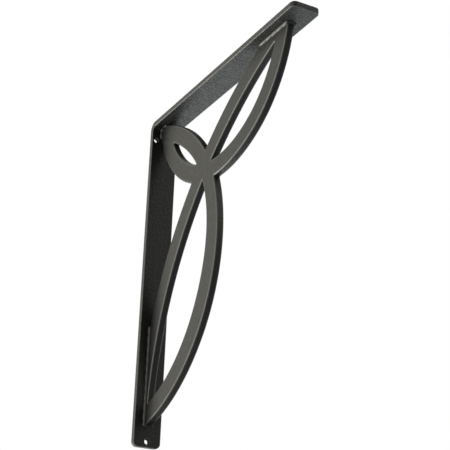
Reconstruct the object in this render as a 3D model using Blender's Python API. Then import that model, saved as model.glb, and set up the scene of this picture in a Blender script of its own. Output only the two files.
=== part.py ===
"""Wall bracket: a flat bar bent to a right angle, braced by a scroll cut from one plate.

X runs across the bracket, +Y points into the wall and +Z points up, in metres. The origin is
the middle of the wall leg's back face, which lies against the wall at Y = 0.
"""
import math

import bmesh
import bpy
from mathutils import Vector
from mathutils.geometry import intersect_line_line_2d

MM = 0.001

# Bent bar
BAR_WIDTH = 25.4 * MM
BAR_THICKNESS = 4.8 * MM
WALL_LEG_HEIGHT = 304.8 * MM
SHELF_LEG_DEPTH = 254.0 * MM
BEND_RADIUS = 8.0 * MM
END_CORNER_RADIUS = 4.4 * MM
BAR_ARRIS = 0.5 * MM
BEND_PIECES = 8
CORNER_PIECES = 6

# Screw holes through the wall leg, measured down from the top face
SCREW_HOLE_DIAMETER = 4.8 * MM
UPPER_HOLE_OFFSET = 8.5 * MM
UPPER_HOLE_DROP = 17.2 * MM
FOOT_HOLE_RISE = 5.1 * MM
HOLE_SIDES = 28

# Scroll plate
PLATE_THICKNESS = 6.6 * MM
PLATE_ARRIS = 1.3 * MM
PATH_STEP = 6.0 * MM
SHORTEST_SIDE = 0.2 * MM
MITRE_LIMIT = 1.5

# Welds between the plate and the bar
SEAM_GAP = 0.3 * MM
WELD_LEG = 1.9 * MM
BEAD_FULLNESS = 0.7
BEAD_END_SIZE = 0.5
BEAD_TURN_PIECES = 3

TOP = WALL_LEG_HEIGHT / 2
COAT_COLOUR = (0.040, 0.040, 0.038)
COAT_ROUGHNESS = 0.5
SMOOTH_UNDER = 40
ARRIS_OVER = 60

# The plate is three crossing bands. Each band edge starts at (y, z) in millimetres, y from the
# wall face and z from the top face, with a heading in degrees from +Y towards +Z, and follows
# arcs given as (radius in millimetres, degrees turned, positive towards +Z).
BAND_EDGES = {
    "tip_to_corner_outer": ((-232.0, -0.8), -81.1, ((105.7, 51.4), (128.7, 36.2), (116.7, 72.8))),
    "tip_to_corner_inner": ((-214.2, 0.7), -79.7, ((92.3, 52.2), (105.3, 66.3), (85.3, 67.4))),
    "tip_to_foot_outer": ((-200.8, 0.9), -20.6, ((341.7, -29.8), (295.7, -39.3))),
    "tip_to_foot_inner": ((-227.3, -6.7), -18.4, ((345.3, -18.9), (322.3, -19.9), (280.3, -31.0))),
    "corner_to_foot_outer": ((-7.6, -2.1), -163.7, ((175.7, 32.7), (135.7, 77.2), (160.7, 43.8))),
    "corner_to_foot_inner": ((1.4, -16.9), -165.3, ((154.3, 35.8), (112.3, 50.0), (140.3, 66.9))),
}


def clear_scene():
    """Remove every object the file opened with."""
    for thing in list(bpy.data.objects):
        bpy.data.objects.remove(thing, do_unlink=True)


def coat_material(name):
    """Dark grey powder coat on steel."""
    material = bpy.data.materials.new(name)
    material.use_nodes = True
    shader = material.node_tree.nodes["Principled BSDF"]
    shader.inputs["Base Color"].default_value = (*COAT_COLOUR, 1.0)
    shader.inputs["Roughness"].default_value = COAT_ROUGHNESS
    shader.inputs["Metallic"].default_value = 0.0
    return material


def add_object(name, builder):
    """Turn a bmesh into a named object with its own coat."""
    bmesh.ops.recalc_face_normals(builder, faces=builder.faces)
    mesh = bpy.data.meshes.new(name)
    builder.to_mesh(mesh)
    builder.free()
    mesh.shade_smooth()
    mesh.set_sharp_from_angle(angle=math.radians(SMOOTH_UNDER))
    mesh.materials.append(coat_material(name + "_coat"))
    thing = bpy.data.objects.new(name, mesh)
    bpy.context.scene.collection.objects.link(thing)
    return thing


def quarter_turn(centre, radius, start_degrees, pieces):
    """Points of a quarter circle in the (y, z) plane, ends included."""
    angles = [math.radians(start_degrees + 90 * i / pieces) for i in range(pieces + 1)]
    return [Vector((centre.x + radius * math.cos(a), centre.y + radius * math.sin(a)))
            for a in angles]


def bar_profile():
    """Side outline of the bent bar in (y, z), from the foot up and out along the shelf leg."""
    bend_centre = Vector((-BEND_RADIUS, TOP - BEND_RADIUS))
    underside = TOP - BAR_THICKNESS
    outside = quarter_turn(bend_centre, BEND_RADIUS, 0, BEND_PIECES)
    inside = quarter_turn(bend_centre, BEND_RADIUS - BAR_THICKNESS, 0, BEND_PIECES)
    return [
        Vector((0, TOP - WALL_LEG_HEIGHT)),
        *outside,
        Vector((-SHELF_LEG_DEPTH, TOP)),
        Vector((-SHELF_LEG_DEPTH, underside)),
        *reversed(inside),
        Vector((-BAR_THICKNESS, TOP - WALL_LEG_HEIGHT)),
    ]


def is_end_corner(edge):
    """True for the four short edges across the thickness at the two free ends."""
    middle = (edge.verts[0].co + edge.verts[1].co) / 2
    at_foot = middle.z < TOP - WALL_LEG_HEIGHT + BAR_THICKNESS / 4
    at_tip = middle.y < -SHELF_LEG_DEPTH + BAR_THICKNESS / 4
    along_x = abs(edge.verts[0].co.x - edge.verts[1].co.x) > BAR_THICKNESS
    return (at_foot or at_tip) and not along_x


def build_bar():
    """Bent bar with rounded end corners and softened arrises, before its screw holes."""
    builder = bmesh.new()
    profile = bar_profile()
    left = [builder.verts.new((-BAR_WIDTH / 2, *point)) for point in profile]
    right = [builder.verts.new((BAR_WIDTH / 2, *point)) for point in profile]
    builder.faces.new(left)
    builder.faces.new(reversed(right))
    for i, _ in enumerate(profile):
        j = (i + 1) % len(profile)
        builder.faces.new((left[i], right[i], right[j], left[j]))
    corners = [edge for edge in builder.edges if is_end_corner(edge)]
    bmesh.ops.bevel(builder, geom=corners, offset=END_CORNER_RADIUS, segments=CORNER_PIECES,
                    profile=0.5, affect="EDGES")
    arrises = [edge for edge in builder.edges if edge.calc_face_angle() > math.radians(ARRIS_OVER)]
    bmesh.ops.bevel(builder, geom=arrises, offset=BAR_ARRIS, segments=2,
                    profile=0.5, affect="EDGES")
    return add_object("bent_bar", builder)


def drill(bar, name, x, z):
    """Cut one round screw hole through the wall leg."""
    builder = bmesh.new()
    bmesh.ops.create_cone(builder, cap_ends=True, segments=HOLE_SIDES, radius1=SCREW_HOLE_DIAMETER / 2,
                          radius2=SCREW_HOLE_DIAMETER / 2, depth=BAR_THICKNESS * 3)
    cutter = add_object(name + "_cutter", builder)
    cutter.rotation_euler = (math.pi / 2, 0, 0)
    cutter.location = (x, -BAR_THICKNESS / 2, z)
    cutter.hide_render = True
    cutter.display_type = "WIRE"
    cut = bar.modifiers.new(name, "BOOLEAN")
    cut.operation = "DIFFERENCE"
    cut.solver = "EXACT"
    cut.object = cutter


def band_edge(name):
    """One band edge as short chords along its arcs, in (y, z)."""
    (start_y, start_z), heading, arcs = BAND_EDGES[name]
    angle = math.radians(heading)
    path = [Vector((start_y * MM, TOP + start_z * MM))]
    for radius_mm, turn in arcs:
        sweep = math.radians(turn)
        chords = max(1, round(abs(radius_mm * MM * sweep) / PATH_STEP))
        chord = 2 * radius_mm * MM * math.sin(abs(sweep) / chords / 2)
        for _ in range(chords):
            middle = angle + sweep / chords / 2
            path.append(path[-1] + Vector((math.cos(middle), math.sin(middle))) * chord)
            angle += sweep / chords
    return path


def crossings(path, other):
    """Places where one path crosses another, in order, as (chord number, point)."""
    found = []
    for i in range(len(path) - 1):
        for j in range(len(other) - 1):
            point = intersect_line_line_2d(path[i], path[i + 1], other[j], other[j + 1])
            if point is not None:
                found.append((i, point))
    return found


def stretch(path, first, last):
    """The part of a path between two of its crossings, in the order asked for."""
    (i, start), (j, end) = first, last
    inner = path[i + 1:j + 1] if i <= j else path[j + 1:i + 1][::-1]
    return [start, *inner, end]


def between(path, before, after):
    """The part of a path from where it first crosses one path to where it crosses another."""
    return stretch(path, crossings(path, before)[0], crossings(path, after)[0])


def leaf_opening(path, other):
    """The pointed opening that two band edges enclose between their two crossings."""
    there = crossings(path, other)
    back = crossings(other, path)
    if (there[0][1] - back[0][1]).length < MM:
        back.reverse()
    return stretch(path, there[0], there[-1]) + stretch(other, back[0], back[-1])


def seam_lines():
    """Straight contact lines of the plate under the shelf leg and against the wall leg."""
    shelf_z = TOP - BAR_THICKNESS - SEAM_GAP
    wall_y = -BAR_THICKNESS - SEAM_GAP
    shelf = [Vector((-SHELF_LEG_DEPTH, shelf_z)), Vector((wall_y, shelf_z))]
    wall = [Vector((wall_y, shelf_z)), Vector((wall_y, TOP - WALL_LEG_HEIGHT))]
    return shelf, wall


def plate_loops():
    """Outer outline of the scroll plate and its three leaf openings."""
    edge = {name: band_edge(name) for name in BAND_EDGES}
    bow, brace, belly = (edge[name] for name in
                         ("tip_to_corner_outer", "tip_to_foot_outer", "corner_to_foot_outer"))
    shelf, wall = seam_lines()
    corner = quarter_turn(Vector((-BEND_RADIUS, TOP - BEND_RADIUS)),
                          BEND_RADIUS - BAR_THICKNESS - SEAM_GAP, 0, BEND_PIECES // 2)
    outline = [
        *between(bow, shelf, belly),
        *between(belly, bow, wall),
        *between(brace, wall, bow),
        *between(bow, brace, wall),
        *corner,
        *between(belly, shelf, brace),
        *between(brace, belly, shelf),
    ]
    bow, brace, belly = (edge[name] for name in
                         ("tip_to_corner_inner", "tip_to_foot_inner", "corner_to_foot_inner"))
    openings = [leaf_opening(bow, brace), leaf_opening(bow, belly), leaf_opening(brace, belly)]
    return outline, openings


def without_repeats(loop):
    """The loop with points that lie too near the one before taken out."""
    return [point for i, point in enumerate(loop) if (point - loop[i - 1]).length > SHORTEST_SIDE]


def signed_area(loop):
    """Area of a closed loop, positive when it runs anticlockwise."""
    return sum(a.x * b.y - b.x * a.y for a, b in zip(loop, loop[1:] + loop[:1])) / 2


def inset(loop, distance):
    """Move a loop towards its left side, where the material is, with short mitres."""
    moved = []
    for i, point in enumerate(loop):
        before = (point - loop[i - 1]).normalized()
        after = (loop[(i + 1) % len(loop)] - point).normalized()
        normals = Vector((-before.y, before.x)), Vector((-after.y, after.x))
        mitre = (normals[0] + normals[1]).normalized()
        reach = 1 / max(mitre.dot(normals[0]), 1 / MITRE_LIMIT)
        moved.append(point + mitre * distance * reach)
    return moved


def plate_levels():
    """Places through the plate's thickness, each with the inset of its rounded arris."""
    half = PLATE_THICKNESS / 2
    left = [(-half + PLATE_ARRIS * (1 - math.cos(a)), PLATE_ARRIS * (1 - math.sin(a)))
            for a in (math.radians(degrees) for degrees in (0, 45, 90))]
    return left + [(-x, pull) for x, pull in reversed(left)]


def build_plate():
    """Scroll plate: one outline with three leaf openings, cut square and softly rounded."""
    outline, openings = plate_loops()
    loops = [without_repeats(loop) for loop in (outline, *openings)]
    loops = [loop if (signed_area(loop) > 0) == (i == 0) else loop[::-1]
             for i, loop in enumerate(loops)]
    builder = bmesh.new()
    rims = {0: [], -1: []}
    for loop in loops:
        rings = [[builder.verts.new((x, *point)) for point in inset(loop, pull)]
                 for x, pull in plate_levels()]
        for lower, upper in zip(rings, rings[1:]):
            for i, _ in enumerate(lower):
                builder.faces.new((lower[i - 1], lower[i], upper[i], upper[i - 1]))
        for side, edges in rims.items():
            ring = rings[side]
            edges += [builder.edges.get((ring[i - 1], ring[i])) for i, _ in enumerate(ring)]
    for edges in rims.values():
        bmesh.ops.triangle_fill(builder, edges=edges, use_beauty=True)
    return add_object("scroll_plate", builder)


def weld_bead(name, stations):
    """Fillet weld carried along stations of (root, away from plate, away from bar, size)."""
    section = ((SEAM_GAP, SEAM_GAP), (WELD_LEG, SEAM_GAP),
               (WELD_LEG * BEAD_FULLNESS, WELD_LEG * BEAD_FULLNESS), (SEAM_GAP, WELD_LEG))
    builder = bmesh.new()
    rings = []
    for root, from_plate, from_bar, size in stations:
        rings.append([builder.verts.new(root + from_plate * (SEAM_GAP + (a - SEAM_GAP) * size)
                                        + from_bar * (SEAM_GAP + (b - SEAM_GAP) * size))
                      for a, b in section])
    for lower, upper in zip(rings, rings[1:]):
        for i, _ in enumerate(section):
            builder.faces.new((lower[i - 1], lower[i], upper[i], upper[i - 1]))
    builder.faces.new(rings[0])
    builder.faces.new(reversed(rings[-1]))
    return add_object(name, builder)


def wrapped_stations(start, end, from_bar):
    """Stations down the plate's left side, round its end and back along its right side."""
    half = Vector((PLATE_THICKNESS / 2, 0, 0))
    onward = (end - start).normalized()
    across = Vector((1, 0, 0))
    stations = [(start - half, -across, from_bar, BEAD_END_SIZE)]
    turns = [math.radians(90 * i / BEAD_TURN_PIECES) for i in range(BEAD_TURN_PIECES + 1)]
    for a in turns:
        stations.append((end - half, -across * math.cos(a) + onward * math.sin(a), from_bar, 1.0))
    for a in reversed(turns):
        stations.append((end + half, across * math.cos(a) + onward * math.sin(a), from_bar, 1.0))
    stations.append((start + half, across, from_bar, BEAD_END_SIZE))
    return stations


def corner_stations(side, wall_z, shelf_y):
    """Stations up the wall leg, round the inside of the bend and out under the shelf leg."""
    x = side * PLATE_THICKNESS / 2
    from_plate = Vector((side, 0, 0))
    bend_centre = Vector((-BEND_RADIUS, TOP - BEND_RADIUS))
    stations = [(Vector((x, -BAR_THICKNESS, wall_z)), from_plate, Vector((0, -1, 0)),
                 BEAD_END_SIZE)]
    for root in quarter_turn(bend_centre, BEND_RADIUS - BAR_THICKNESS, 0, BEND_PIECES // 2):
        inward = (bend_centre - root).normalized()
        stations.append((Vector((x, *root)), from_plate, Vector((0, *inward)), 1.0))
    stations.append((Vector((x, shelf_y, TOP - BAR_THICKNESS)), from_plate,
                     Vector((0, 0, -1)), BEAD_END_SIZE))
    return stations


def build_welds():
    """Fillet welds at the foot, under the shelf leg and on both sides of the bend."""
    edge = {name: band_edge(name) for name in BAND_EDGES}
    bow, brace, belly = (edge[name] for name in
                         ("tip_to_corner_outer", "tip_to_foot_outer", "corner_to_foot_outer"))
    shelf, wall = seam_lines()
    foot_z = crossings(belly, wall)[0][1].y
    brace_z = crossings(brace, wall)[0][1].y
    tip_y = crossings(bow, shelf)[0][1].x
    brace_y = crossings(brace, shelf)[0][1].x
    underside = TOP - BAR_THICKNESS
    weld_bead("wall_weld", wrapped_stations(
        Vector((0, -BAR_THICKNESS, brace_z)), Vector((0, -BAR_THICKNESS, foot_z)),
        Vector((0, -1, 0))))
    weld_bead("shelf_weld", wrapped_stations(
        Vector((0, brace_y, underside)), Vector((0, tip_y, underside)), Vector((0, 0, -1))))
    bow_z = crossings(bow, wall)[0][1].y
    belly_y = crossings(belly, shelf)[0][1].x
    for name, side in (("corner_weld_left", -1), ("corner_weld_right", 1)):
        weld_bead(name, corner_stations(side, bow_z, belly_y))


def main():
    """Build the bracket."""
    clear_scene()
    bar = build_bar()
    drill(bar, "upper_left_hole", -UPPER_HOLE_OFFSET, TOP - UPPER_HOLE_DROP)
    drill(bar, "upper_right_hole", UPPER_HOLE_OFFSET, TOP - UPPER_HOLE_DROP)
    drill(bar, "foot_hole", 0.0, TOP - WALL_LEG_HEIGHT + FOOT_HOLE_RISE)
    build_plate()
    build_welds()


main()
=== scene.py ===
"""Looks of a steel wall bracket: bent flat bar, cut scroll plate, fillet welds, powder coat.

X runs across the bracket, +Y points into the wall and +Z points up, in metres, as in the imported
model. Both steel pieces are flat stock, so both are made the same way: outlines in the flat, a
rounded arris round every edge, and for the bar a bend.
"""
import logging
import math
from dataclasses import dataclass, field
from enum import Enum

import bpy
import numpy as np
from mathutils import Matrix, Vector
from mathutils.geometry import delaunay_2d_cdt


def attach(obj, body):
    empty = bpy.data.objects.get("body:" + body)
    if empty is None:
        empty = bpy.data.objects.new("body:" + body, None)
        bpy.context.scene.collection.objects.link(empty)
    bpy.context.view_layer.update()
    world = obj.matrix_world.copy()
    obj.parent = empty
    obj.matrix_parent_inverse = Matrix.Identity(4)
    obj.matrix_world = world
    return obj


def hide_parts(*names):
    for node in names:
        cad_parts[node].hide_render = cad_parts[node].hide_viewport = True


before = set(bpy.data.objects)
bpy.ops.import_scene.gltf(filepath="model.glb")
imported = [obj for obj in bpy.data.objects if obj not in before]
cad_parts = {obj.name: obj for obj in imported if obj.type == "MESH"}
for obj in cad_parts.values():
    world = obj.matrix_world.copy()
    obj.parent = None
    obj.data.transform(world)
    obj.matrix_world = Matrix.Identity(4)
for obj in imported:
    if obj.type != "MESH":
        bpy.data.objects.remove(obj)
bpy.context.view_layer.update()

log = logging.getLogger("bracket")

MM = 0.001
BATCH = 500  # points compared with the loops at one time, to keep memory small
Array = np.ndarray
Pair = tuple[float, float]
Socket = bpy.types.NodeSocket
Tree = bpy.types.NodeTree


def linear_colour(hex_code: str) -> tuple[float, float, float, float]:
    """Linear red, green and blue, and an alpha of one, from six hex digits of an sRGB colour."""
    values = [int(hex_code[i:i + 2], 16) / 255 for i in (0, 2, 4)]
    return (*(v / 12.92 if v <= 0.04045 else ((v + 0.055) / 1.055) ** 2.4 for v in values), 1.0)


def new_object(name: str, data: bpy.types.ID) -> bpy.types.Object:
    """Make an object from a mesh or a camera and put it in the scene."""
    thing = bpy.data.objects.new(name, data)
    bpy.context.scene.collection.objects.link(thing)
    return thing


def add_node(tree: Tree, kind: str, settings: dict | None = None,
             links: dict | None = None) -> bpy.types.Node:
    """Add one shader node with its settings and links.

    Args:
        tree: The node tree that gets the node.
        kind: Blender's name of the node type.
        settings: Property names to values; a number or "in:NAME" sets an input socket.
        links: Input number or name to the output socket that feeds it.
    Returns:
        The new node.
    """
    node = tree.nodes.new(kind)
    for name, value in (settings or {}).items():
        if isinstance(name, int):
            node.inputs[name].default_value = value
        elif name.startswith("in:"):
            node.inputs[name[3:]].default_value = value
        else:
            setattr(node, name, value)
    for name, socket in (links or {}).items():
        tree.links.new(socket, node.inputs[name])
    return node


def noise(tree: Tree, place: Socket, size: float, detail: float, grit: float) -> Socket:
    """Noise from nothing to one with bumps of a size in metres, and finer layers over them."""
    return add_node(tree, "ShaderNodeTexNoise", {
        "in:Scale": 1 / size, "in:Detail": detail, "in:Roughness": grit},
        {"Vector": place}).outputs["Fac"]


def scaled(tree: Tree, value: Socket, gain: float, start: float | Socket) -> Socket:
    """The start plus the gain times a value, kept between nothing and one."""
    fixed = {2: start} if isinstance(start, float) else {}
    linked = {} if fixed else {2: start}
    return add_node(tree, "ShaderNodeMath", {
        "operation": "MULTIPLY_ADD", "use_clamp": True, 1: gain, **fixed},
        {0: value, **linked}).outputs["Value"]


def relief(tree: Tree, height: Socket, depth: float, **under: Socket) -> Socket:
    """Shaded normal of a height times a depth in metres, over a coarser Normal if one is given."""
    return add_node(tree, "ShaderNodeBump", {"in:Strength": 1.0, "in:Distance": depth},
                    {"Height": height, **under}).outputs["Normal"]


# Curves in the flat


def cross(a: Array, b: Array) -> Array:
    """Cross product of vectors in the plane, positive where the turn is anticlockwise."""
    return a[..., 0] * b[..., 1] - a[..., 1] * b[..., 0]


def unit(rows: Array) -> Array:
    """Rows scaled to length one."""
    return rows / np.maximum(np.linalg.norm(rows, axis=1, keepdims=True), 1e-12)


def quarter_circle(steps: int) -> Array:
    """Points on a quarter of the unit circle, from the first axis to the second."""
    a = np.linspace(0, math.pi / 2, steps + 1)
    return np.stack([np.cos(a), np.sin(a)], 1)


def arc_path(start: Pair, heading: float, arcs: tuple[Pair, ...], step: float) -> Array:
    """Points along arcs that run on smoothly from one another.

    An arc of signed radius r that turns the heading from h to a lies at
    r (sin a - sin h, cos h - cos a) from its start.

    Args:
        start: First point, in metres.
        heading: First direction in degrees, from the first axis towards the second.
        arcs: Radius in metres and turn in degrees of each arc, the turn positive anticlockwise.
        step: Rough distance between points.
    Returns:
        Points, one row each.
    """
    point, angle, runs = np.array(start, float), math.radians(heading), []
    for radius, turn in arcs:
        sweep = math.radians(turn)
        r = math.copysign(radius, sweep)
        a = angle + np.linspace(0.0, sweep, max(2, round(radius * abs(sweep) / step)) + 1)
        run = point + r * np.stack([np.sin(a) - math.sin(angle), math.cos(angle) - np.cos(a)], 1)
        runs.append(run[:-1])
        point, angle = run[-1], angle + sweep
    return np.concatenate([*runs, point[None]])


def crossings(path: Array, other: Array) -> tuple[Array, Array]:
    """Places where two paths cross, solved for every pair of chords at once.

    Chords p + t d and q + u e meet where t is (q - p) x e over d x e and u is (q - p) x d over
    d x e; they cross there if both lie between nothing and one.

    Args:
        path: Points of the first path.
        other: Points of the second path.
    Returns:
        Positions along each path, in chords from its start, in the first path's order.
    """
    p, d = path[:-1, None], np.diff(path, axis=0)[:, None]
    q, e = other[None, :-1], np.diff(other, axis=0)[None]
    turn = cross(d, e)
    turn = np.where(np.abs(turn) < 1e-18, np.nan, turn)
    t, u = cross(q - p, e) / turn, cross(q - p, d) / turn
    with np.errstate(invalid="ignore"):
        i, j = np.nonzero((t >= 0) & (t < 1) & (u >= 0) & (u < 1))
    return i + t[i, j], j + u[i, j]


def stretch(path: Array, first: float, last: float) -> Array:
    """The part of a path between two positions in chords from its start, in the order given."""
    low, high = sorted((first, last))
    places = np.concatenate([[low], np.arange(math.floor(low) + 1, math.ceil(high)), [high]])
    places = places if first <= last else places[::-1]
    index = np.arange(len(path))
    return np.stack([np.interp(places, index, path[:, k]) for k in (0, 1)], 1)


def between(path: Array, before: Array, after: Array) -> Array:
    """The part of a path from where it first crosses one path to where it crosses another."""
    return stretch(path, crossings(path, before)[0][0], crossings(path, after)[0][0])


def distance_along(line: Array) -> Array:
    """Distance of each point from the first, along the line through them."""
    return np.concatenate([[0.0], np.cumsum(np.linalg.norm(np.diff(line, axis=0), axis=1))])


def evened(loop: Array, spacing: float, softness: float) -> Array:
    """A closed loop with even spacing, its corners rounded as a cutting torch leaves them.

    The loop is resampled four times as finely as asked, averaged along its length with bell
    shaped weights, and thinned out again.

    Args:
        loop: Points of the closed loop.
        spacing: Distance between points that is wanted.
        softness: Standard deviation of the averaging, in metres.
    Returns:
        The new points.
    """
    closed = np.concatenate([loop, loop[:1]])
    along = distance_along(closed)
    count = 4 * max(6, round(along[-1] / spacing))
    places = np.arange(count) * along[-1] / count
    fine = np.stack([np.interp(places, along, closed[:, k]) for k in (0, 1)], 1)
    reach = np.arange(count)
    reach = np.minimum(reach, count - reach) * along[-1] / count
    weights = np.exp(-0.5 * (reach / softness) ** 2)
    spectrum = np.fft.fft(weights / weights.sum())[:, None]
    return np.real(np.fft.ifft(np.fft.fft(fine, axis=0) * spectrum, axis=0))[::4]


def wound(loop: Array, anticlockwise: bool) -> Array:
    """The loop, turned round where needed to run anticlockwise or clockwise."""
    area = np.sum(cross(loop, np.roll(loop, -1, 0)))
    return loop if (area > 0) == anticlockwise else loop[::-1]


def outward(loop: Array) -> Array:
    """Unit normals on a loop's right side, from the neighbours before and after each point."""
    along = unit(np.roll(loop, -1, 0) - np.roll(loop, 1, 0))
    return np.stack([along[:, 1], -along[:, 0]], 1)


def room_inside(loop: Array, normals: Array, everything: Array) -> Array:
    """Radius of the largest circle that touches each point from the material's side.

    A circle through p with inward normal n that also passes q has radius
    |q - p|^2 / (2 n . (q - p)); the smallest of these over all q is the room there is.

    Args:
        loop: Points of one loop.
        normals: Their outward normals.
        everything: Points of all the loops of the plate.
    Returns:
        One radius for each point.
    """
    gap = everything[None] - loop[:, None]
    depth = -np.einsum("ijk,ik->ij", gap, normals)
    squared = np.einsum("ijk,ijk->ij", gap, gap)
    with np.errstate(divide="ignore", invalid="ignore"):
        radius = np.where(depth > 1e-7, squared / (2 * depth), np.inf)
    return radius.min(1)


def is_inside(points: Array, loops: list[Array]) -> Array:
    """Whether a ray from each point crosses the closed loops an odd number of times."""
    inside = np.zeros(len(points), bool)
    for loop in loops:
        x0, y0 = loop.T
        x1, y1 = np.roll(loop, -1, 0).T
        for some in np.array_split(np.arange(len(points)), max(1, len(points) // BATCH)):
            px, py = points[some, 0][:, None], points[some, 1][:, None]
            spans = (y0 > py) != (y1 > py)
            with np.errstate(divide="ignore", invalid="ignore"):
                cross_x = x0 + (py - y0) * (x1 - x0) / (y1 - y0)
            inside[some] ^= (np.sum(spans & (px < cross_x), axis=1) % 2).astype(bool)
    return inside


# Surfaces

SIDE_ON = 0.95  # outward part of the normal above which a level counts as the side of a hole


@dataclass
class Surface:
    """Points, normals and faces of one piece, with how far each point is on an arris or a bore.

    Attributes:
        points: Places, one row each.
        normals: Unit normals, one row each.
        faces: Corner numbers of each face.
        marks: What the finish needs to know, one number a point under each name: "arris" is one
            on a rounded edge and "bore" is one inside a drilled hole. By "arris" the finish paints
            a lighter colour, partly a painted highlight; by "bore" it reflects less, as painted
            shade.
    """

    points: Array
    normals: Array
    faces: list[tuple[int, ...]]
    marks: dict[str, Array]

    def face_outwards(self) -> None:
        """Turn the faces and normals round if the enclosed volume comes out negative.

        Every triangle of the closed surface makes a pyramid with the origin. The boxes on the
        pyramids' edges add up to six times the volume, which is positive when facing out.
        """
        fans = [(f[0], f[k], f[k + 1]) for f in self.faces for k in range(1, len(f) - 1)]
        a, b, c = self.points[np.array(fans)].transpose(1, 0, 2)
        if np.einsum("ij,ij->", a, np.cross(b, c)) < 0:
            self.faces = [f[::-1] for f in self.faces]
            self.normals = -self.normals

    def to_object(self, name: str, material: bpy.types.Material) -> bpy.types.Object:
        """Make the mesh and its object, and ride it on the bracket's one body."""
        mesh = bpy.data.meshes.new(name)
        mesh.from_pydata(self.points.tolist(), [], self.faces)
        mesh.validate()
        mesh.shade_smooth()
        mesh.normals_split_custom_set_from_vertices(self.normals.tolist())
        for mark, values in self.marks.items():
            layer = mesh.attributes.new(mark, "FLOAT", "POINT")
            layer.data.foreach_set("value", values.astype(np.float32))
        mesh.materials.append(material)
        thing = new_object(name, mesh)
        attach(thing, "root")
        log.info("%s: %d points, %d faces", name, len(self.points), len(self.faces))
        return thing


def ring_quads(first: Array, second: Array) -> list[tuple[int, ...]]:
    """Quads between two closed rings of point numbers of the same length."""
    quads = np.stack([first, np.roll(first, -1), np.roll(second, -1), second], 1)
    return [tuple(q) for q in quads.tolist()]


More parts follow.
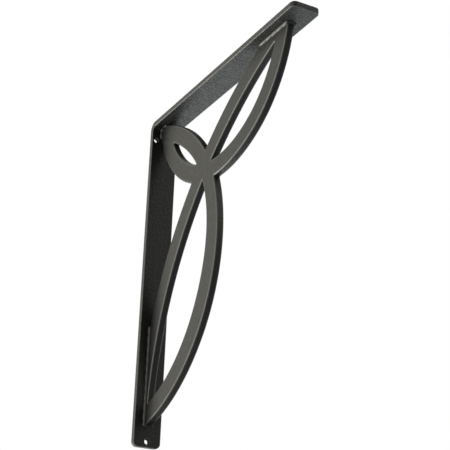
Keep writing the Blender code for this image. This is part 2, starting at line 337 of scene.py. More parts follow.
@dataclass
class FlatStock:
    """A piece cut from flat stock, worked out in the flat as (u, v, w), w through its thickness.

    Round every loop the edge is a profile carried along it: a rubbed margin of the lower face, a
    quarter circle off it, a nearly straight side, a quarter circle on to the upper face and its
    rubbed margin. Margins, arrises and sides take a lighter colour: partly thin coat, partly a
    painted highlight. The two flat faces are filled with triangles between the margins and a
    lattice of inner points.

    Attributes:
        loops: Outline first, then openings.
        thickness: Distance between the two faces.
        arrises: Radii of the rounded edges of each loop at the lower and at the upper face, the
            upper never the smaller.
        drilled: How many of the loops, counted from the last, are drilled holes.
        rub_and_sheen_margin: Width of the flat beside an arris over which the coat is rubbed thin
            and its colour lightened, partly as a painted highlight.
        crown: How far the middle of a side, but not a drilled hole's, stands out past its arrises.
        side_wear_and_sheen: How thin the coat lies on the sides, from nothing to one; the lighter
            colour it gives is partly a painted highlight.
        arris_steps: Pieces of each quarter circle.
        side_steps: Pieces of the cut side between the arrises.
        arris_share: Most of the room inside the edge that an arris may take.
        margin_share: Most of it that a margin may take.
        lattice: Spacing of the inner points.
        clearance: Distance of the inner points from the rims, as a share of the spacing.
    """

    loops: list[Array]
    thickness: float
    arrises: list[Pair]
    drilled: int = 0
    rub_and_sheen_margin: float = 0.7 * MM
    crown: float = 0.08 * MM
    side_wear_and_sheen: float = 0.0
    arris_steps: int = 5
    side_steps: int = 6
    arris_share: float = 0.7
    margin_share: float = 0.15
    lattice: float = 4 * MM
    clearance: float = 0.6

    def edge_profile(self, arrises: Pair) -> tuple[Array, ...]:
        """Levels of the edge, from the lower face's margin over the side to the upper face's.

        The side between the arrises is a shallow parabola: at the share s of the way from its
        middle to its edge it is inset by s squared times the crown, so its slope is 2 s times the
        crown over half its height, and the arrises begin at that slope. On an arris the thinness
        rises from a half at the flat face to one a third of the way round, and drops to the side's
        wear just before the side. The thinness lightens the coat's colour, partly as a painted
        highlight.

        Args:
            arrises: Radii at the lower and at the upper face.
        Returns:
            For each level: inset in shares of the lower arris, of the upper arris, of the margin
            and of the crown, height, outward part of the normal, upward part, and how thin the coat
            is, which lightens its colour, partly as a painted highlight.
            coat is.
        """
        half, side_wear_and_sheen_level = self.thickness / 2, self.side_wear_and_sheen
        steep = math.atan2(2 * self.crown, half - sum(arrises) / 2)
        a = np.linspace(0, math.pi / 2 - steep, self.arris_steps + 1)
        pull, rise, nil = 1 - np.sin(a), 1 - np.cos(a), 0 * a
        low, high = arrises[0] * rise - half, half - arrises[1] * rise[::-1]
        s = np.linspace(-1, 1, self.side_steps + 1)[1:-1]
        side, still = np.interp(s, (-1, 1), (low[-1], high[0])), 0 * s
        tilt = np.arctan(s * math.tan(steep))
        # Thinness of the coat, which lightens its colour: partly thin coat, partly a painted
        # highlight.
        thin_coat_and_sheen = np.clip(5 * np.cos(a), side_wear_and_sheen_level, 1) * (0.5 + 0.5 * np.clip(2 * np.sin(a), 0, 1))
        rows = (([1], pull, still, nil, [0]),
                ([0], nil, still, pull[::-1], [1]),
                ([1], nil, still, nil, [1]),
                ([1], nil + 1, s * s, nil + 1, [1]),
                ([-half], low, side, high, [half]),
                ([0], np.sin(a), np.cos(tilt), np.sin(a)[::-1], [0]),
                ([-1], -np.cos(a), np.sin(tilt), np.cos(a)[::-1], [1]),
                ([0], thin_coat_and_sheen, still + side_wear_and_sheen_level, thin_coat_and_sheen[::-1], [0]))
        return tuple(np.concatenate(row) for row in rows)

    def inner_points(self, rims: list[Array]) -> Array:
        """Lattice points on the flat face that keep clear of the rims that bound it."""
        everything = np.concatenate(rims)
        low, high = everything.min(0), everything.max(0)
        u, v = np.meshgrid(*(np.arange(low[k], high[k], self.lattice) + self.lattice / 2
                             for k in (0, 1)), indexing="ij")
        points = np.stack([u.ravel(), v.ravel()], 1)
        points = points[is_inside(points, rims)]
        nearest = np.concatenate([
            np.sqrt(((some[:, None] - everything[None]) ** 2).sum(2)).min(1)
            for some in np.array_split(points, max(1, len(points) // BATCH))])
        return points[nearest > self.clearance * self.lattice]

    @staticmethod
    def lifted(flat: Array, up: Array) -> Array:
        """Rows of (u, v) for each level, each with the level's third number after it."""
        return np.concatenate([flat, np.broadcast_to(up[:, None, None], (*flat.shape[:2], 1))], 2)

    def surface(self) -> Surface:
        """Work out the closed surface.

        Returns:
            Points level by level for each loop in turn, then the inner points of the lower and
            of the upper face.
        """
        everything = np.concatenate(self.loops)
        points, normals, faces, rims, rim_ids, start = [], [], [], [], [], 0
        marks = {"arris": [], "bore": []}
        for number, (loop, arrises) in enumerate(zip(self.loops, self.arrises)):
            *shares, height, out_part, up_part, thin_coat_and_sheen = self.edge_profile(arrises)
            levels, normal = len(height), outward(loop)
            room = room_inside(loop, normal, everything)
            hole = number >= len(self.loops) - self.drilled
            insets = [np.minimum(arrises[0], self.arris_share * room),
                      np.minimum(arrises[1], self.arris_share * room),
                      np.minimum(self.rub_and_sheen_margin, self.margin_share * room),
                      self.crown * (1 - hole) + 0 * room]
            inset = np.einsum("kl,kp->lp", np.stack(shares), np.stack(insets))
            flat = loop[None] - normal[None] * inset[..., None]
            points.append(self.lifted(flat, height))
            normals.append(self.lifted(normal[None] * out_part[:, None, None], up_part))
            # The arris mark lightens the colour: partly thin coat, partly a painted highlight.
            marks["arris"].append(np.repeat(thin_coat_and_sheen, len(loop)))
            # The bore mark paints shade into the holes through the finish.
            marks["bore"].append(np.repeat(hole * (out_part > SIDE_ON), len(loop)))
            ids = start + np.arange(levels * len(loop)).reshape(levels, len(loop))
            for k in range(levels - 1):
                faces += ring_quads(ids[k], ids[k + 1])
            rims.append(flat[-1])
            rim_ids.append(np.stack([ids[0], ids[-1]]))
            start += ids.size
        inner = self.inner_points(rims)
        rim, low_high = np.concatenate(rims), np.concatenate(rim_ids, 1)
        inner_ids = start + np.arange(2 * len(inner)).reshape(2, len(inner))
        up = np.array([-1.0, 1.0])
        points.append(self.lifted(np.stack([inner, inner]), up * self.thickness / 2))
        normals.append(self.lifted(np.zeros((2, len(inner), 2)), up))
        low_high = np.concatenate([low_high, inner_ids], 1)
        for triangle in self.fill(rim, inner, [len(r) for r in rims]):
            faces.append(tuple(low_high[1][triangle].tolist()))
            faces.append(tuple(low_high[0][triangle[::-1]].tolist()))
        points = np.concatenate([p.reshape(-1, 3) for p in points])
        normals = np.concatenate([n.reshape(-1, 3) for n in normals])
        still = np.zeros(2 * len(inner))
        return Surface(points, normals, faces,
                       {name: np.concatenate([*values, still]) for name, values in marks.items()})

    def fill(self, rim: Array, inner: Array, counts: list[int]) -> Array:
        """Triangles of the flat face, as numbers of rim points followed by inner points.

        Args:
            rim: Points of all the rims.
            inner: Lattice points.
            counts: Number of points in each rim.
        Returns:
            Three point numbers a row, anticlockwise.
        """
        flat = np.concatenate([rim, inner])
        scale = 1 / MM
        edges, start = [], 0
        for count in counts:
            ring = np.arange(start, start + count)
            edges += np.stack([ring, np.roll(ring, -1)], 1).tolist()
            start += count
        _, _, triangles, origin, _, _ = delaunay_2d_cdt(
            [Vector(p) for p in (flat * scale).tolist()], edges, [], 1, 1e-5)
        number = np.array([o[0] if o else -1 for o in origin])
        triangles = number[np.array([t for t in triangles if len(t) == 3])]
        triangles = triangles[(triangles >= 0).all(1)]
        a, b, c = (flat[triangles[:, k]] for k in range(3))
        loops = np.split(rim, np.cumsum(counts)[:-1])
        keep = is_inside((a + b + c) / 3, loops)
        turn = cross(b - a, c - a)
        triangles = np.where(turn[:, None] > 0, triangles, triangles[:, ::-1])
        log.info("face filled with %d triangles", keep.sum())
        return triangles[keep]


# Finishes


@dataclass(frozen=True)
class PowderCoat:
    """Satin powder coat baked on to mild steel.

    The powder flows into a skin with a fine orange peel; over mill scale it also shows low
    dimples some millimetres across. It pulls thin on the arrises, where it shines more; its
    lighter colour there is partly that thin coat and partly a painted highlight.

    Attributes:
        name: The material's name.
        body: Colour of the coat.
        thin_coat_and_sheen: Colour where it thins over the arrises, lighter: partly thin coat,
            partly a painted highlight.
        roughness: Lowest and highest roughness over the mottling.
        peel_mm: Size of the orange peel.
        peel_depth_mm: Its depth.
        dimple_mm: Size of the dimples.
        dimple_depth_mm: Their depth.
        polish: How much smoother a worn arris is.
        shine: How much more a worn arris reflects.
        bore_roughness: How much rougher the thick, dusty coat in a hole is.
        bore_painted_shade: How much less it reflects: painted shade, which keeps the holes' insides
            dark.
    """

    name: str
    body: str
    thin_coat_and_sheen: str
    roughness: Pair
    peel_mm: float
    peel_depth_mm: float
    dimple_mm: float
    dimple_depth_mm: float
    polish: float = 0.12
    shine: float = 0.5
    bore_roughness: float = 0.5
    bore_painted_shade: float = 0.45

    def material(self) -> bpy.types.Material:
        """Build the node tree: noise in real millimetres drives roughness and relief; the arris
        mark drives the colour, and both marks roughness and reflection.
        """
        material = bpy.data.materials.new(self.name)
        material.use_nodes = True
        tree = material.node_tree
        shader = tree.nodes["Principled BSDF"]
        shader.inputs["Metallic"].default_value = 0.0
        shader.inputs["IOR"].default_value = 1.5
        place = add_node(tree, "ShaderNodeTexCoord").outputs["Object"]
        peel = noise(tree, place, self.peel_mm * MM, 2.0, 0.55)
        dimple = noise(tree, place, self.dimple_mm * MM, 3.0, 0.6)
        wear_and_sheen, bore = (add_node(tree, "ShaderNodeAttribute", {"attribute_name": n}).outputs["Fac"]
                      for n in ("arris", "bore"))
        rough = add_node(tree, "ShaderNodeMapRange", {
            "in:From Min": 0.3, "in:From Max": 0.7, "in:To Min": self.roughness[0],
            "in:To Max": self.roughness[1]}, {"Value": dimple}).outputs["Result"]
        rough = scaled(tree, wear_and_sheen, -self.polish, rough)
        rough = scaled(tree, bore, self.bore_roughness, rough)
        tree.links.new(rough, shader.inputs["Roughness"])
        gloss = scaled(tree, wear_and_sheen, self.shine, 1 - self.shine)
        # Painted shade: the inside of a hole reflects less, so it comes out dark.
        gloss = scaled(tree, bore, -self.bore_painted_shade, gloss)
        tree.links.new(gloss, shader.inputs["Specular IOR Level"])
        # Lighter colour by the arris mark: partly thin coat on arrises and sides, partly a painted
        # highlight.
        tint_with_sheen = add_node(tree, "ShaderNodeMix", {
            "data_type": "RGBA", 6: linear_colour(self.body), 7: linear_colour(self.thin_coat_and_sheen)},
            {0: wear_and_sheen}).outputs[2]
        tree.links.new(tint_with_sheen, shader.inputs["Base Color"])
        low = relief(tree, dimple, self.dimple_depth_mm * MM)
        skin = relief(tree, peel, self.peel_depth_mm * MM, Normal=low)
        tree.links.new(skin, shader.inputs["Normal"])
        return material


# Powder baked over the scale and roll marks of the bar: blotchy satin, with low dimples that show
# where light grazes it. Its lighter second colour, on the arrises and sides, is partly a painted
# highlight.
BAR_COAT = PowderCoat("powder_coat_on_rolled_bar", "181819", "343433", (0.36, 0.58),
                      0.9, 0.06, 2.4, 0.60)

# Powder over flat plate with torch-cut edges: the same satin, nearly even. Its lighter second
# colour, on the arrises and their margins, is partly a painted highlight.
PLATE_COAT = PowderCoat("powder_coat_on_cut_plate", "191918", "343432", (0.40, 0.56),
                        0.8, 0.05, 2.4, 0.09)

# Powder that flowed smooth over the rippled beads: a little glossier than on the plate, so that
# each bead carries a line of light.
WELD_COAT = PowderCoat("powder_coat_on_weld", "191918", "2c2c2b", (0.34, 0.46),
                       0.7, 0.04, 1.6, 0.05)


# The bracket's pieces


@dataclass
class BentBar:
    """The flat bar: cut to length with rounded corners, drilled, then bent square.

    In the flat, u runs across the bar and v along it from the foot; w is depth from the outer
    face, which becomes the wall face and the shelf face.

    Attributes:
        width: Across the bar.
        thickness: Through the bar.
        wall_leg: Height of the wall leg, over the bend.
        shelf_leg: Depth of the shelf leg, over the bend.
        bend_radius: Radius of the bend's outer face.
        corner_radius: Rounding of the four end corners in the flat.
        arrises: Rounding of the rolled arrises, on the outer faces and on the inner ones.
        hole_diameter: Screw holes.
        upper_hole_offset: Upper holes from the middle line.
        upper_hole_drop: Upper holes below the top face.
        foot_hole_rise: Foot hole above the end.
        hole_arris: Rounding that the coat leaves at the holes' rims.
        hole_sides: Points round a hole.
        corner_steps: Pieces of a rounded corner.
        spacing: Distance between points along the sides.
        lattice: Spacing of the points on its faces.
        side_wear_and_sheen: How thin the coat lies on its sides, from nothing to one; the lighter
            colour it gives is partly a painted highlight.
        finish: The coat.
    """

    width: float = 25.4 * MM
    thickness: float = 4.8 * MM
    wall_leg: float = 304.8 * MM
    shelf_leg: float = 254.0 * MM
    bend_radius: float = 8.0 * MM
    corner_radius: float = 4.4 * MM
    arrises: Pair = (0.3 * MM, 0.5 * MM)
    hole_diameter: float = 4.6 * MM
    upper_hole_offset: float = 8.5 * MM
    upper_hole_drop: float = 17.2 * MM
    foot_hole_rise: float = 5.1 * MM
    hole_arris: float = 0.4 * MM
    hole_sides: int = 48
    corner_steps: int = 12
    spacing: float = 1.0 * MM
    lattice: float = 1.6 * MM
    side_wear_and_sheen: float = 0.1
    finish: PowderCoat = BAR_COAT

    @property
    def bend_start(self) -> float:
        """Distance along the bar where the bend begins."""
        return self.wall_leg - self.bend_radius

    @property
    def length(self) -> float:
        """Length of the outer face in the flat."""
        arc = self.bend_radius * math.pi / 2
        return self.bend_start + arc + self.shelf_leg - self.bend_radius

    def outline(self) -> Array:
        """Rectangle in the flat with quarter circles at its four corners."""
        half, r = self.width / 2, self.corner_radius
        quarter = quarter_circle(self.corner_steps) * r
        turns = [np.array([[math.cos(t), -math.sin(t)], [math.sin(t), math.cos(t)]])
                 for t in (-math.pi / 2, 0, math.pi / 2, math.pi)]
        centres = [(half - r, r), (half - r, self.length - r),
                   (r - half, self.length - r), (r - half, r)]
        corners = [np.array(c) + quarter @ t.T for c, t in zip(centres, turns)]
        sides = np.arange(r + self.spacing, self.length - r - self.spacing / 2, self.spacing)
        right = np.stack([np.full(len(sides), half), sides], 1)
        left = np.stack([np.full(len(sides), -half), sides[::-1]], 1)
        return np.concatenate([corners[0], right, corners[1], corners[2], left, corners[3]])

    def hole(self, u: float, v: float) -> Array:
        """Outline of one screw hole in the flat, clockwise, from its centre."""
        a = -np.arange(self.hole_sides) * 2 * math.pi / self.hole_sides
        return np.array([u, v]) + self.hole_diameter / 2 * np.stack([np.cos(a), np.sin(a)], 1)

    def bend(self, surface: Surface) -> Surface:
        """Bend the flat piece, and turn its (u, v, w) into (x, y, z).

        At v the bar has turned by the angle phi, which is (v - bend start) / radius kept between
        nothing and a right angle. The outer face is at the bend's centre plus the radius along
        the outward direction, plus whatever of v the arc has not used along the tangent, and w
        goes inwards from it.
        """
        u, v, w = surface.points.T
        w = w + self.thickness / 2
        r, top = self.bend_radius, self.wall_leg / 2
        phi = np.clip((v - self.bend_start) / r, 0, math.pi / 2)
        rest = v - self.bend_start - r * phi
        out, along = (np.cos(phi), np.sin(phi)), (-np.sin(phi), np.cos(phi))
        y = -r + (r - w) * out[0] + rest * along[0]
        z = top - r + (r - w) * out[1] + rest * along[1]
        nu, nv, nw = surface.normals.T
        normals = np.stack([nu, nv * along[0] - nw * out[0], nv * along[1] - nw * out[1]], 1)
        return Surface(np.stack([u, y, z], 1), normals, surface.faces, surface.marks)

    def build(self) -> bpy.types.Object:
        """Make the bar and put it in place of the plain one."""
        upper = self.wall_leg - self.upper_hole_drop
        loops = [wound(self.outline(), True),
                 self.hole(-self.upper_hole_offset, upper),
                 self.hole(self.upper_hole_offset, upper),
                 self.hole(0.0, self.foot_hole_rise)]
        rims = [self.arrises, *[(self.hole_arris, self.hole_arris)] * 3]
        flat = FlatStock(loops, self.thickness, rims, drilled=3, side_wear_and_sheen=self.side_wear_and_sheen,
                         lattice=self.lattice)
        bar = self.bend(flat.surface()).to_object("bent_flat_bar", self.finish.material())
        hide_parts("bent_bar")
        return bar


class Edge(Enum):
    """The six long edges of the scroll's three bands, named by the ends they join."""

    TIP_CORNER_OUTER = "bow, outer"
    TIP_CORNER_INNER = "bow, inner"
    TIP_FOOT_OUTER = "brace, outer"
    TIP_FOOT_INNER = "brace, inner"
    CORNER_FOOT_OUTER = "belly, outer"
    CORNER_FOOT_INNER = "belly, inner"


# Start in (y, z), from the wall face and the top face, the heading there, and arcs of radius
# and turn: millimetres and degrees, anticlockwise seen with +Y right and +Z up.
EDGE_ARCS = {
    Edge.TIP_CORNER_OUTER: ((-232.0, -0.8), -81.1,
                            ((105.7, 51.4), (128.7, 36.2), (116.7, 72.8))),
    Edge.TIP_CORNER_INNER: ((-214.2, 0.7), -79.7, ((92.3, 52.2), (105.3, 66.3), (85.3, 67.4))),
    Edge.TIP_FOOT_OUTER: ((-200.8, 0.9), -20.6, ((341.7, -29.8), (295.7, -39.3))),
    Edge.TIP_FOOT_INNER: ((-227.3, -6.7), -18.4,
                          ((345.3, -18.9), (322.3, -19.9), (280.3, -31.0))),
    Edge.CORNER_FOOT_OUTER: ((-7.6, -2.1), -163.7,
                             ((175.7, 32.7), (135.7, 77.2), (160.7, 43.8))),
    Edge.CORNER_FOOT_INNER: ((1.4, -16.9), -165.3,
                             ((154.3, 35.8), (112.3, 50.0), (140.3, 66.9))),
}


@dataclass
class ScrollPlate:
    """The scroll: three crossing bands and their leaf openings, cut from one plate.

    Attributes:
        bar: The bar that carries it.
        thickness: Of the plate.
        arris: Rounding of the cut edges.
        spacing: Distance between points along the cuts.
        softness: Rounding left at sharp corners of the cut.
        bend_steps: Pieces of the curve that fits the inside of the bend.
        finish: The coat.
        edges: Points of the six band edges in (y, z), worked out from their arcs.
    """

    bar: BentBar
    thickness: float = 6.6 * MM
    arris: float = 1.3 * MM
    spacing: float = 0.8 * MM
    softness: float = 0.35 * MM
    bend_steps: int = 8
    finish: PowderCoat = PLATE_COAT
    edges: dict[Edge, Array] = field(default_factory=dict)

    def __post_init__(self) -> None:
        """Lay out the six band edges, in (y, z)."""
        top = self.bar.wall_leg / 2
        for name, ((y, z), heading, arcs) in EDGE_ARCS.items():
            self.edges[name] = arc_path((y * MM, top + z * MM), heading,
                                        tuple((r * MM, turn) for r, turn in arcs), MM)

    def outer_edges(self) -> tuple[Array, Array, Array]:
        """Outer edges of the bow, the brace and the belly."""
        return (self.edges[Edge.TIP_CORNER_OUTER], self.edges[Edge.TIP_FOOT_OUTER],
                self.edges[Edge.CORNER_FOOT_OUTER])

    def seams(self) -> tuple[Array, Array]:
        """Contact lines under the shelf leg and against the wall leg."""
        bar, top = self.bar, self.bar.wall_leg / 2
        shelf_z, wall_y = top - bar.thickness, -bar.thickness
        return (np.array([(-bar.shelf_leg, shelf_z), (wall_y, shelf_z)]),
                np.array([(wall_y, shelf_z), (wall_y, -top)]))

    def leaf(self, first: Edge, second: Edge) -> Array:
        """Closed loop of the pointed opening between the crossings of a pair of inner edges."""
        path, other = self.edges[first], self.edges[second]
        there, back = crossings(path, other)
        return np.concatenate([stretch(path, there[0], there[-1])[:-1],
                               stretch(other, back[-1], back[0])[:-1]])

    def outline(self) -> Array:
        """Outer edges from the tip round by the foot and the bend and back to the tip."""
        bow, brace, belly = self.outer_edges()
        shelf, wall = self.seams()
        bar, top = self.bar, self.bar.wall_leg / 2
        corner = (np.array([-bar.bend_radius, top - bar.bend_radius])
                  + (bar.bend_radius - bar.thickness) * quarter_circle(self.bend_steps))
        return np.concatenate([
            between(bow, shelf, belly), between(belly, bow, wall), between(brace, wall, bow),
            between(bow, brace, wall), corner, between(belly, shelf, brace),
            between(brace, belly, shelf)])

    def build(self) -> bpy.types.Object:
        """Make the plate and put it in place of the plain one."""
        leaves = [self.leaf(Edge.TIP_CORNER_INNER, Edge.TIP_FOOT_INNER),
                  self.leaf(Edge.TIP_CORNER_INNER, Edge.CORNER_FOOT_INNER),
                  self.leaf(Edge.TIP_FOOT_INNER, Edge.CORNER_FOOT_INNER)]
        loops = [wound(self.outline(), True), *(wound(leaf, False) for leaf in leaves)]
        loops = [evened(loop, self.spacing, self.softness) for loop in loops]
        flat = FlatStock(loops, self.thickness, [(self.arris, self.arris)] * len(loops)).surface()
        flat.points, flat.normals = (np.roll(a, 1, axis=1) for a in (flat.points, flat.normals))
        plate = flat.to_object("cut_scroll_plate", self.finish.material())
        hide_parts("scroll_plate")
        return plate


@dataclass
class WeldBead:
    """A fillet weld laid by hand between the plate and the bar.

    Its section is a slightly full quarter: at the angle psi from the bar to the plate it lies
    leg times cos(psi)^p from the plate and leg times sin(psi)^p from the bar. Along its length
    the leg swells and shrinks with every sweep of the hand, carries fine ripples, wanders a
    little, and is smaller across the plate's end than along its sides.

    Attributes:
        leg: Size of the bead.
        sweep: Length of one sweep of the hand.
        swell: Share by which a sweep swells the leg.
        ripple: Length of one ripple.
        ripple_share: Swell of a ripple, as a share of a sweep's.
        across: Size across the plate's end, as a share of the leg.
        root: How far the bead bites into both pieces.
        fullness: Power p of the section; a smaller one is fuller.
        section_steps: Pieces of the section's curve.
        run_out: Length over which the bead starts and dies away.
        waves: Lengths over two pi of the two waves of the wander.
        wander: Share by which they change the leg.
        thinness: How thin the coat lies on the bead.
    """

    leg: float = 1.9 * MM
    sweep: float = 8.5 * MM
    swell: float = 0.2
    ripple: float = 1.5 * MM
    ripple_share: float = 0.2
    across: float = 0.6
    root: float = 0.25 * MM
    fullness: float = 1.35
    section_steps: int = 9
    run_out: float = 2.0 * MM
    waves: Pair = (5.3 * MM, 9.1 * MM)
    wander: float = 0.06
    thinness: float = 0.3

    def surface(self, line: Array, from_plate: Array, from_bar: Array, seed: float) -> Surface:
        """Carry the section along a line.

        Args:
            line: Corner between plate and bar, one row a station, evenly spaced.
            from_plate: Unit directions away from the plate at each station.
            from_bar: Unit directions away from the bar at each station.
            seed: Shifts the wander, so that no two beads are alike.
        Returns:
            The closed bead.
        """
        along = distance_along(line)
        stitch = np.abs(np.sin(math.pi * along / self.sweep + seed))
        ripple = np.abs(np.sin(math.pi * along / self.ripple))
        wander = sum(np.sin(along / wave + (k + 1) * seed) for k, wave in enumerate(self.waves)) / 2
        ends = np.clip(np.minimum(along, along[-1] - along) / self.run_out, 0.0, 1.0)
        size = self.across + (1 - self.across) * np.abs(from_plate[:, 0])
        mean_stitch = 0.6
        leg = self.leg * size * np.sqrt(ends) * (
            1 + self.swell * (stitch - mean_stitch) + self.ripple_share * self.swell * ripple
            + self.wander * wander)
        root = np.full((len(leg), 1), -self.root)
        off_plate, off_bar = (np.hstack([root, leg[:, None] * part ** self.fullness])
                              for part in quarter_circle(self.section_steps).T)
        points = (line[:, None] + off_plate[..., None] * from_plate[:, None]
                  + off_bar[..., None] * from_bar[:, None])
        stations, ring = points.shape[:2]
        ids = np.arange(stations * ring).reshape(stations, ring)
        faces = [f for k in range(stations - 1) for f in ring_quads(ids[k], ids[k + 1])]
        faces += [tuple(ids[0][::-1].tolist()), tuple(ids[-1].tolist())]
        slope_ring = (np.roll(points, -1, 1) - np.roll(points, 1, 1)).reshape(-1, 3)
        normals = unit(np.cross(slope_ring, np.gradient(points, axis=0).reshape(-1, 3)))
        bead = Surface(points.reshape(-1, 3), normals, faces,
                       {"arris": np.full(stations * ring, self.thinness)})
        bead.face_outwards()
        return bead


@dataclass
class Welds:
    """The welds: round the foot, round the tip, and on both sides of the bend.

    Attributes:
        bar: The bar.
        plate: The plate.
        step: Distance between stations.
        end_rounding: Rounding of the line where it turns across the plate's end.
        turn_steps: Pieces of that turn.
        bend_steps: Pieces of the line round the inside of the bend.
        seed_step: Shift of the wander from one bead to the next.
        finish: The coat.
        beads: Size of the bead at each place and the share by which it swells.
    """

    bar: BentBar
    plate: ScrollPlate
    step: float = 0.35 * MM
    end_rounding: float = 1.2 * MM
    turn_steps: int = 7
    bend_steps: int = 11
    seed_step: float = 1.7
    finish: PowderCoat = WELD_COAT
    beads: dict[str, Pair] = field(default_factory=lambda: {
        "wall": (2.0 * MM, 0.2), "shelf": (1.8 * MM, 0.12), "corner": (1.9 * MM, 0.05)})

    def even(self, line: Array, *others: Array) -> list[Array]:
        """The line's points, and the unit directions that go with them, at even steps."""
        along = distance_along(line)
        along += np.arange(len(along)) * 1e-9  # keeps two points at one place in order
        places = np.linspace(0, along[-1], max(8, round(along[-1] / self.step)))
        spread = [np.stack([np.interp(places, along, a[:, k]) for k in range(3)], 1)
                  for a in (line, *others)]
        return [spread[0], *(unit(a) for a in spread[1:])]

    def round_end(self, start: Array, end: Array, from_bar: Array) -> tuple[Array, Array, Array]:
        """Down the plate's left side, round its end and back up its right side.

        Args:
            start: Middle of the seam where the bead starts.
            end: Middle of the seam's end, which the bead goes round.
            from_bar: Direction away from the bar.
        Returns:
            Line, directions away from the plate and directions away from the bar.
        """
        half, r = self.plate.thickness / 2, self.end_rounding
        onward = (end - start) / np.linalg.norm(end - start)
        across = np.array([1.0, 0.0, 0.0])
        cosine, sine = quarter_circle(self.turn_steps).T[..., None]
        turn = -cosine * across + sine * onward
        left = end - across * (half - r) - onward * r + turn * r
        mirror = np.array([-1.0, 1.0, 1.0])
        back, right = turn[::-1] * mirror, left[::-1] * mirror
        line = np.concatenate([[start - across * half], left, right, [start + across * half]])
        from_plate = np.concatenate([[-across], turn, back, [across]])
        return line, from_plate, np.broadcast_to(from_bar, line.shape)

    def round_bend(self, side: int, wall_z: float, shelf_y: float) -> tuple[Array, Array, Array]:
        """Up the wall leg, round the inside of the bend and out under the shelf leg.

        Args:
            side: -1 for the left side, 1 for the right.
            wall_z: Where the bead starts on the wall leg.
            shelf_y: Where it ends under the shelf leg.
        Returns:
            Line, directions away from the plate and directions away from the bar.
        """
        bar, top = self.bar, self.bar.wall_leg / 2
        x = side * self.plate.thickness / 2
        out = np.insert(quarter_circle(self.bend_steps), 0, 0.0, axis=1)
        centre = np.array([x, -bar.bend_radius, top - bar.bend_radius])
        arc = centre + (bar.bend_radius - bar.thickness) * out
        line = np.concatenate([[(x, -bar.thickness, wall_z)], arc,
                               [(x, shelf_y, top - bar.thickness)]])
        from_bar = np.concatenate([-out[:1], -out, -out[-1:]])
        return line, np.broadcast_to([float(side), 0.0, 0.0], line.shape), from_bar

    @staticmethod
    def meets(edge: Array, seam: Array) -> Array:
        """Point in the plate's middle plane where an edge first reaches a seam."""
        place = crossings(edge, seam)[0][0]
        return np.array([0.0, *stretch(edge, place, place + 0.5)[0]])

    def build(self) -> list[bpy.types.Object]:
        """Make the four beads and put each in place of the plain one."""
        shelf, wall = self.plate.seams()
        bow, brace, belly = self.plate.outer_edges()
        meets = self.meets
        wall_front, shelf_under = np.array([0.0, -1.0, 0.0]), np.array([0.0, 0.0, -1.0])
        lines = {
            "wall_weld": self.round_end(meets(brace, wall), meets(belly, wall), wall_front),
            "shelf_weld": self.round_end(meets(brace, shelf), meets(bow, shelf), shelf_under),
        }
        wall_z, shelf_y = meets(bow, wall)[2], meets(belly, shelf)[1]
        for name, side in (("corner_weld_left", -1), ("corner_weld_right", 1)):
            lines[name] = self.round_bend(side, wall_z, shelf_y)
        coat, made = self.finish.material(), []
        for seed, (node, line) in enumerate(lines.items()):
            leg, swell = self.beads[node.split("_")[0]]
            bead = WeldBead(leg=leg, swell=swell)
            surface = bead.surface(*self.even(*line), seed=self.seed_step * seed)
            thing = surface.to_object(node + "_bead", coat)
            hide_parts(node)
            made.append(thing)
        return made


# The studio


@dataclass(frozen=True)
class SoftArea:
    """A soft bright area of the surround, brightest in its middle.

    Attributes:
        toward: Direction from the bracket to its middle.
        reach: Angle in degrees from its middle to where it has faded out.
        light: How bright its middle is.
        colour: Its colour.
    """

    toward: tuple[float, float, float]
    reach: float
    light: float
    colour: str = "ffffff"


# Strong light from the left, from behind and from behind below, less from above and from the
# right: the left faces come out grey, the wall leg's front nearly black.
SURROUND = (
    SoftArea((-1.0, 0.0, 0.0), 48.0, 1.5),
    SoftArea((-1.0, 1.0, -1.0), 48.0, 1.7, "fffefb"),
    SoftArea((-1.0, 1.0, 0.0), 48.0, 1.2, "fffced"),
    SoftArea((-1.0, -1.0, 1.0), 48.0, 0.3, "fffce0"),
    SoftArea((-0.35, 0.83, -0.42), 24.0, 4.6, "fffdf4"),
    SoftArea((-0.85, -0.15, -0.5), 32.0, 1.6, "fffefb"),
    SoftArea((-0.3, 0.8, 0.9), 42.0, 0.6, "fffff5"),
    SoftArea((0.42, 0.83, 0.36), 30.0, 2.2, "f6faff"),
    SoftArea((0.0, 1.0, -1.0), 48.0, 0.2, "fff8d8"),
    SoftArea((1.0, 0.35, 0.05), 42.0, 1.0, "dce8ff"),
    SoftArea((0.15, 0.88, -0.46), 26.0, 1.9, "faffff"),
    SoftArea((1.0, 1.0, -1.0), 48.0, 0.4, "f5f9ff"),
    SoftArea((0.55, 0.5, -0.67), 34.0, 1.4, "f8ffff"),
    SoftArea((0.45, -0.6, 0.66), 20.0, 1.3, "fbfff7"),
    SoftArea((1.0, -1.0, 0.0), 48.0, 0.2, "ffe6b8"),
    SoftArea((1.0, -1.0, 1.0), 48.0, 0.45, "fbfff7"),
    SoftArea((1.0, -1.0, -1.0), 48.0, 0.4, "d6e3ff"),
)


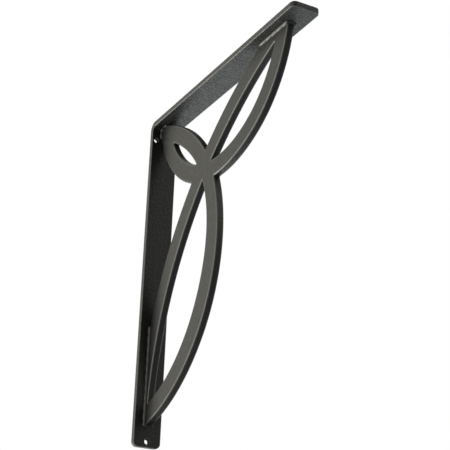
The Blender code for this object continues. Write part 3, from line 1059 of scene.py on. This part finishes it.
@dataclass
class Studio:
    """Plain pale floor and a surround that is white to the eye and lights softly from all round.

    Attributes:
        floor_z: Height of the floor.
        floor_size: Side of the floor.
        floor_cells: Squares along a side of it.
        floor_colour: Its colour, that of pale paper.
        floor_roughness: How matt it is, so that it has no highlight near the dark bracket.
        areas: Bright areas of the surround.
    """

    floor_z: float = -0.46
    floor_size: float = 1.0
    floor_cells: int = 8
    floor_colour: str = "ececea"
    floor_roughness: float = 0.8
    areas: tuple[SoftArea, ...] = SURROUND

    def build_floor(self) -> bpy.types.Object:
        """A flat pale floor, well below the bracket."""
        n = self.floor_cells + 1
        a = np.linspace(-0.5, 0.5, n) * self.floor_size
        x, y = np.meshgrid(a, a)
        points = np.stack([x.ravel(), y.ravel(), np.full(n * n, self.floor_z)], 1)
        i = np.arange(n * n).reshape(n, n)[:-1, :-1].ravel()
        quads = np.stack([i, i + 1, i + n + 1, i + n], 1)
        mesh = bpy.data.meshes.new("floor")
        mesh.from_pydata(points.tolist(), [], quads.tolist())
        material = bpy.data.materials.new("pale_studio_floor")
        material.use_nodes = True
        shader = material.node_tree.nodes["Principled BSDF"]
        shader.inputs["Base Color"].default_value = linear_colour(self.floor_colour)
        shader.inputs["Roughness"].default_value = self.floor_roughness
        mesh.materials.append(material)
        floor = new_object("floor", mesh)
        return floor

    @staticmethod
    def fading(tree: Tree, direction: Socket, area: SoftArea) -> Socket:
        """Light of an area in each direction, fading smoothly with the cosine off its middle."""
        cosine = add_node(tree, "ShaderNodeVectorMath", {
            "operation": "DOT_PRODUCT", 1: Vector(area.toward).normalized()},
            {0: direction}).outputs["Value"]
        share = add_node(tree, "ShaderNodeMapRange", {
            "interpolation_type": "SMOOTHSTEP", "in:To Max": area.light,
            "in:From Min": math.cos(math.radians(area.reach)), "in:From Max": 1.0},
            {"Value": cosine}).outputs["Result"]
        return add_node(tree, "ShaderNodeVectorMath", {
            "operation": "SCALE", 0: linear_colour(area.colour)[:3]},
            {"Scale": share}).outputs["Vector"]

    def build_surround(self) -> None:
        """World light: the sum of the soft areas, but plain white to the eye."""
        world = bpy.data.worlds.new("white_surround")
        bpy.context.scene.world = world
        world.use_nodes = True
        tree = world.node_tree
        tree.nodes.clear()
        direction = add_node(tree, "ShaderNodeTexCoord").outputs["Generated"]
        total = self.fading(tree, direction, self.areas[0])
        for area in self.areas[1:]:
            total = add_node(tree, "ShaderNodeVectorMath", {}, {
                0: total, 1: self.fading(tree, direction, area)}).outputs["Vector"]
        lit = add_node(tree, "ShaderNodeBackground", {}, {"Color": total})
        seen = add_node(tree, "ShaderNodeBackground", {"in:Color": (1, 1, 1, 1)})
        eye = add_node(tree, "ShaderNodeLightPath").outputs["Is Camera Ray"]
        both = add_node(tree, "ShaderNodeMixShader", {}, {
            0: eye, 1: lit.outputs["Background"], 2: seen.outputs["Background"]})
        add_node(tree, "ShaderNodeOutputWorld", {}, {"Surface": both.outputs["Shader"]})

    def build(self) -> None:
        """Set up floor and surround."""
        self.build_floor()
        self.build_surround()
        bpy.context.scene.view_settings.view_transform = "Standard"


@dataclass
class PhotoCamera:
    """Camera at the angle from which the bracket was photographed, low on its left.

    Attributes:
        place: Where it stands.
        turn: Its rotation in degrees.
        lens: Focal length on a 36 mm sensor.
    """

    place: tuple[float, float, float] = (-0.42813, -0.94101, -0.35908)
    turn: tuple[float, float, float] = (111.9128, -1.9906, -28.6882)
    lens: float = 97.04

    def build(self) -> bpy.types.Object:
        """Make the camera and let the scene use it."""
        data = bpy.data.cameras.new("photo_camera")
        data.lens, data.sensor_width = self.lens, 36.0
        data.clip_start, data.clip_end = 0.01, 50.0
        camera = new_object("photo_camera", data)
        camera.location = self.place
        camera.rotation_euler = tuple(math.radians(a) for a in self.turn)
        bpy.context.scene.camera = camera
        return camera


def main() -> None:
    """Build the bracket, the studio and the camera, in that order."""
    logging.basicConfig(level=logging.INFO, format="%(name)s: %(message)s")
    bar = BentBar()
    bar.build()
    plate = ScrollPlate(bar)
    plate.build()
    Welds(bar, plate).build()
    Studio().build()
    PhotoCamera().build()


if __name__ == "__main__":
    main()
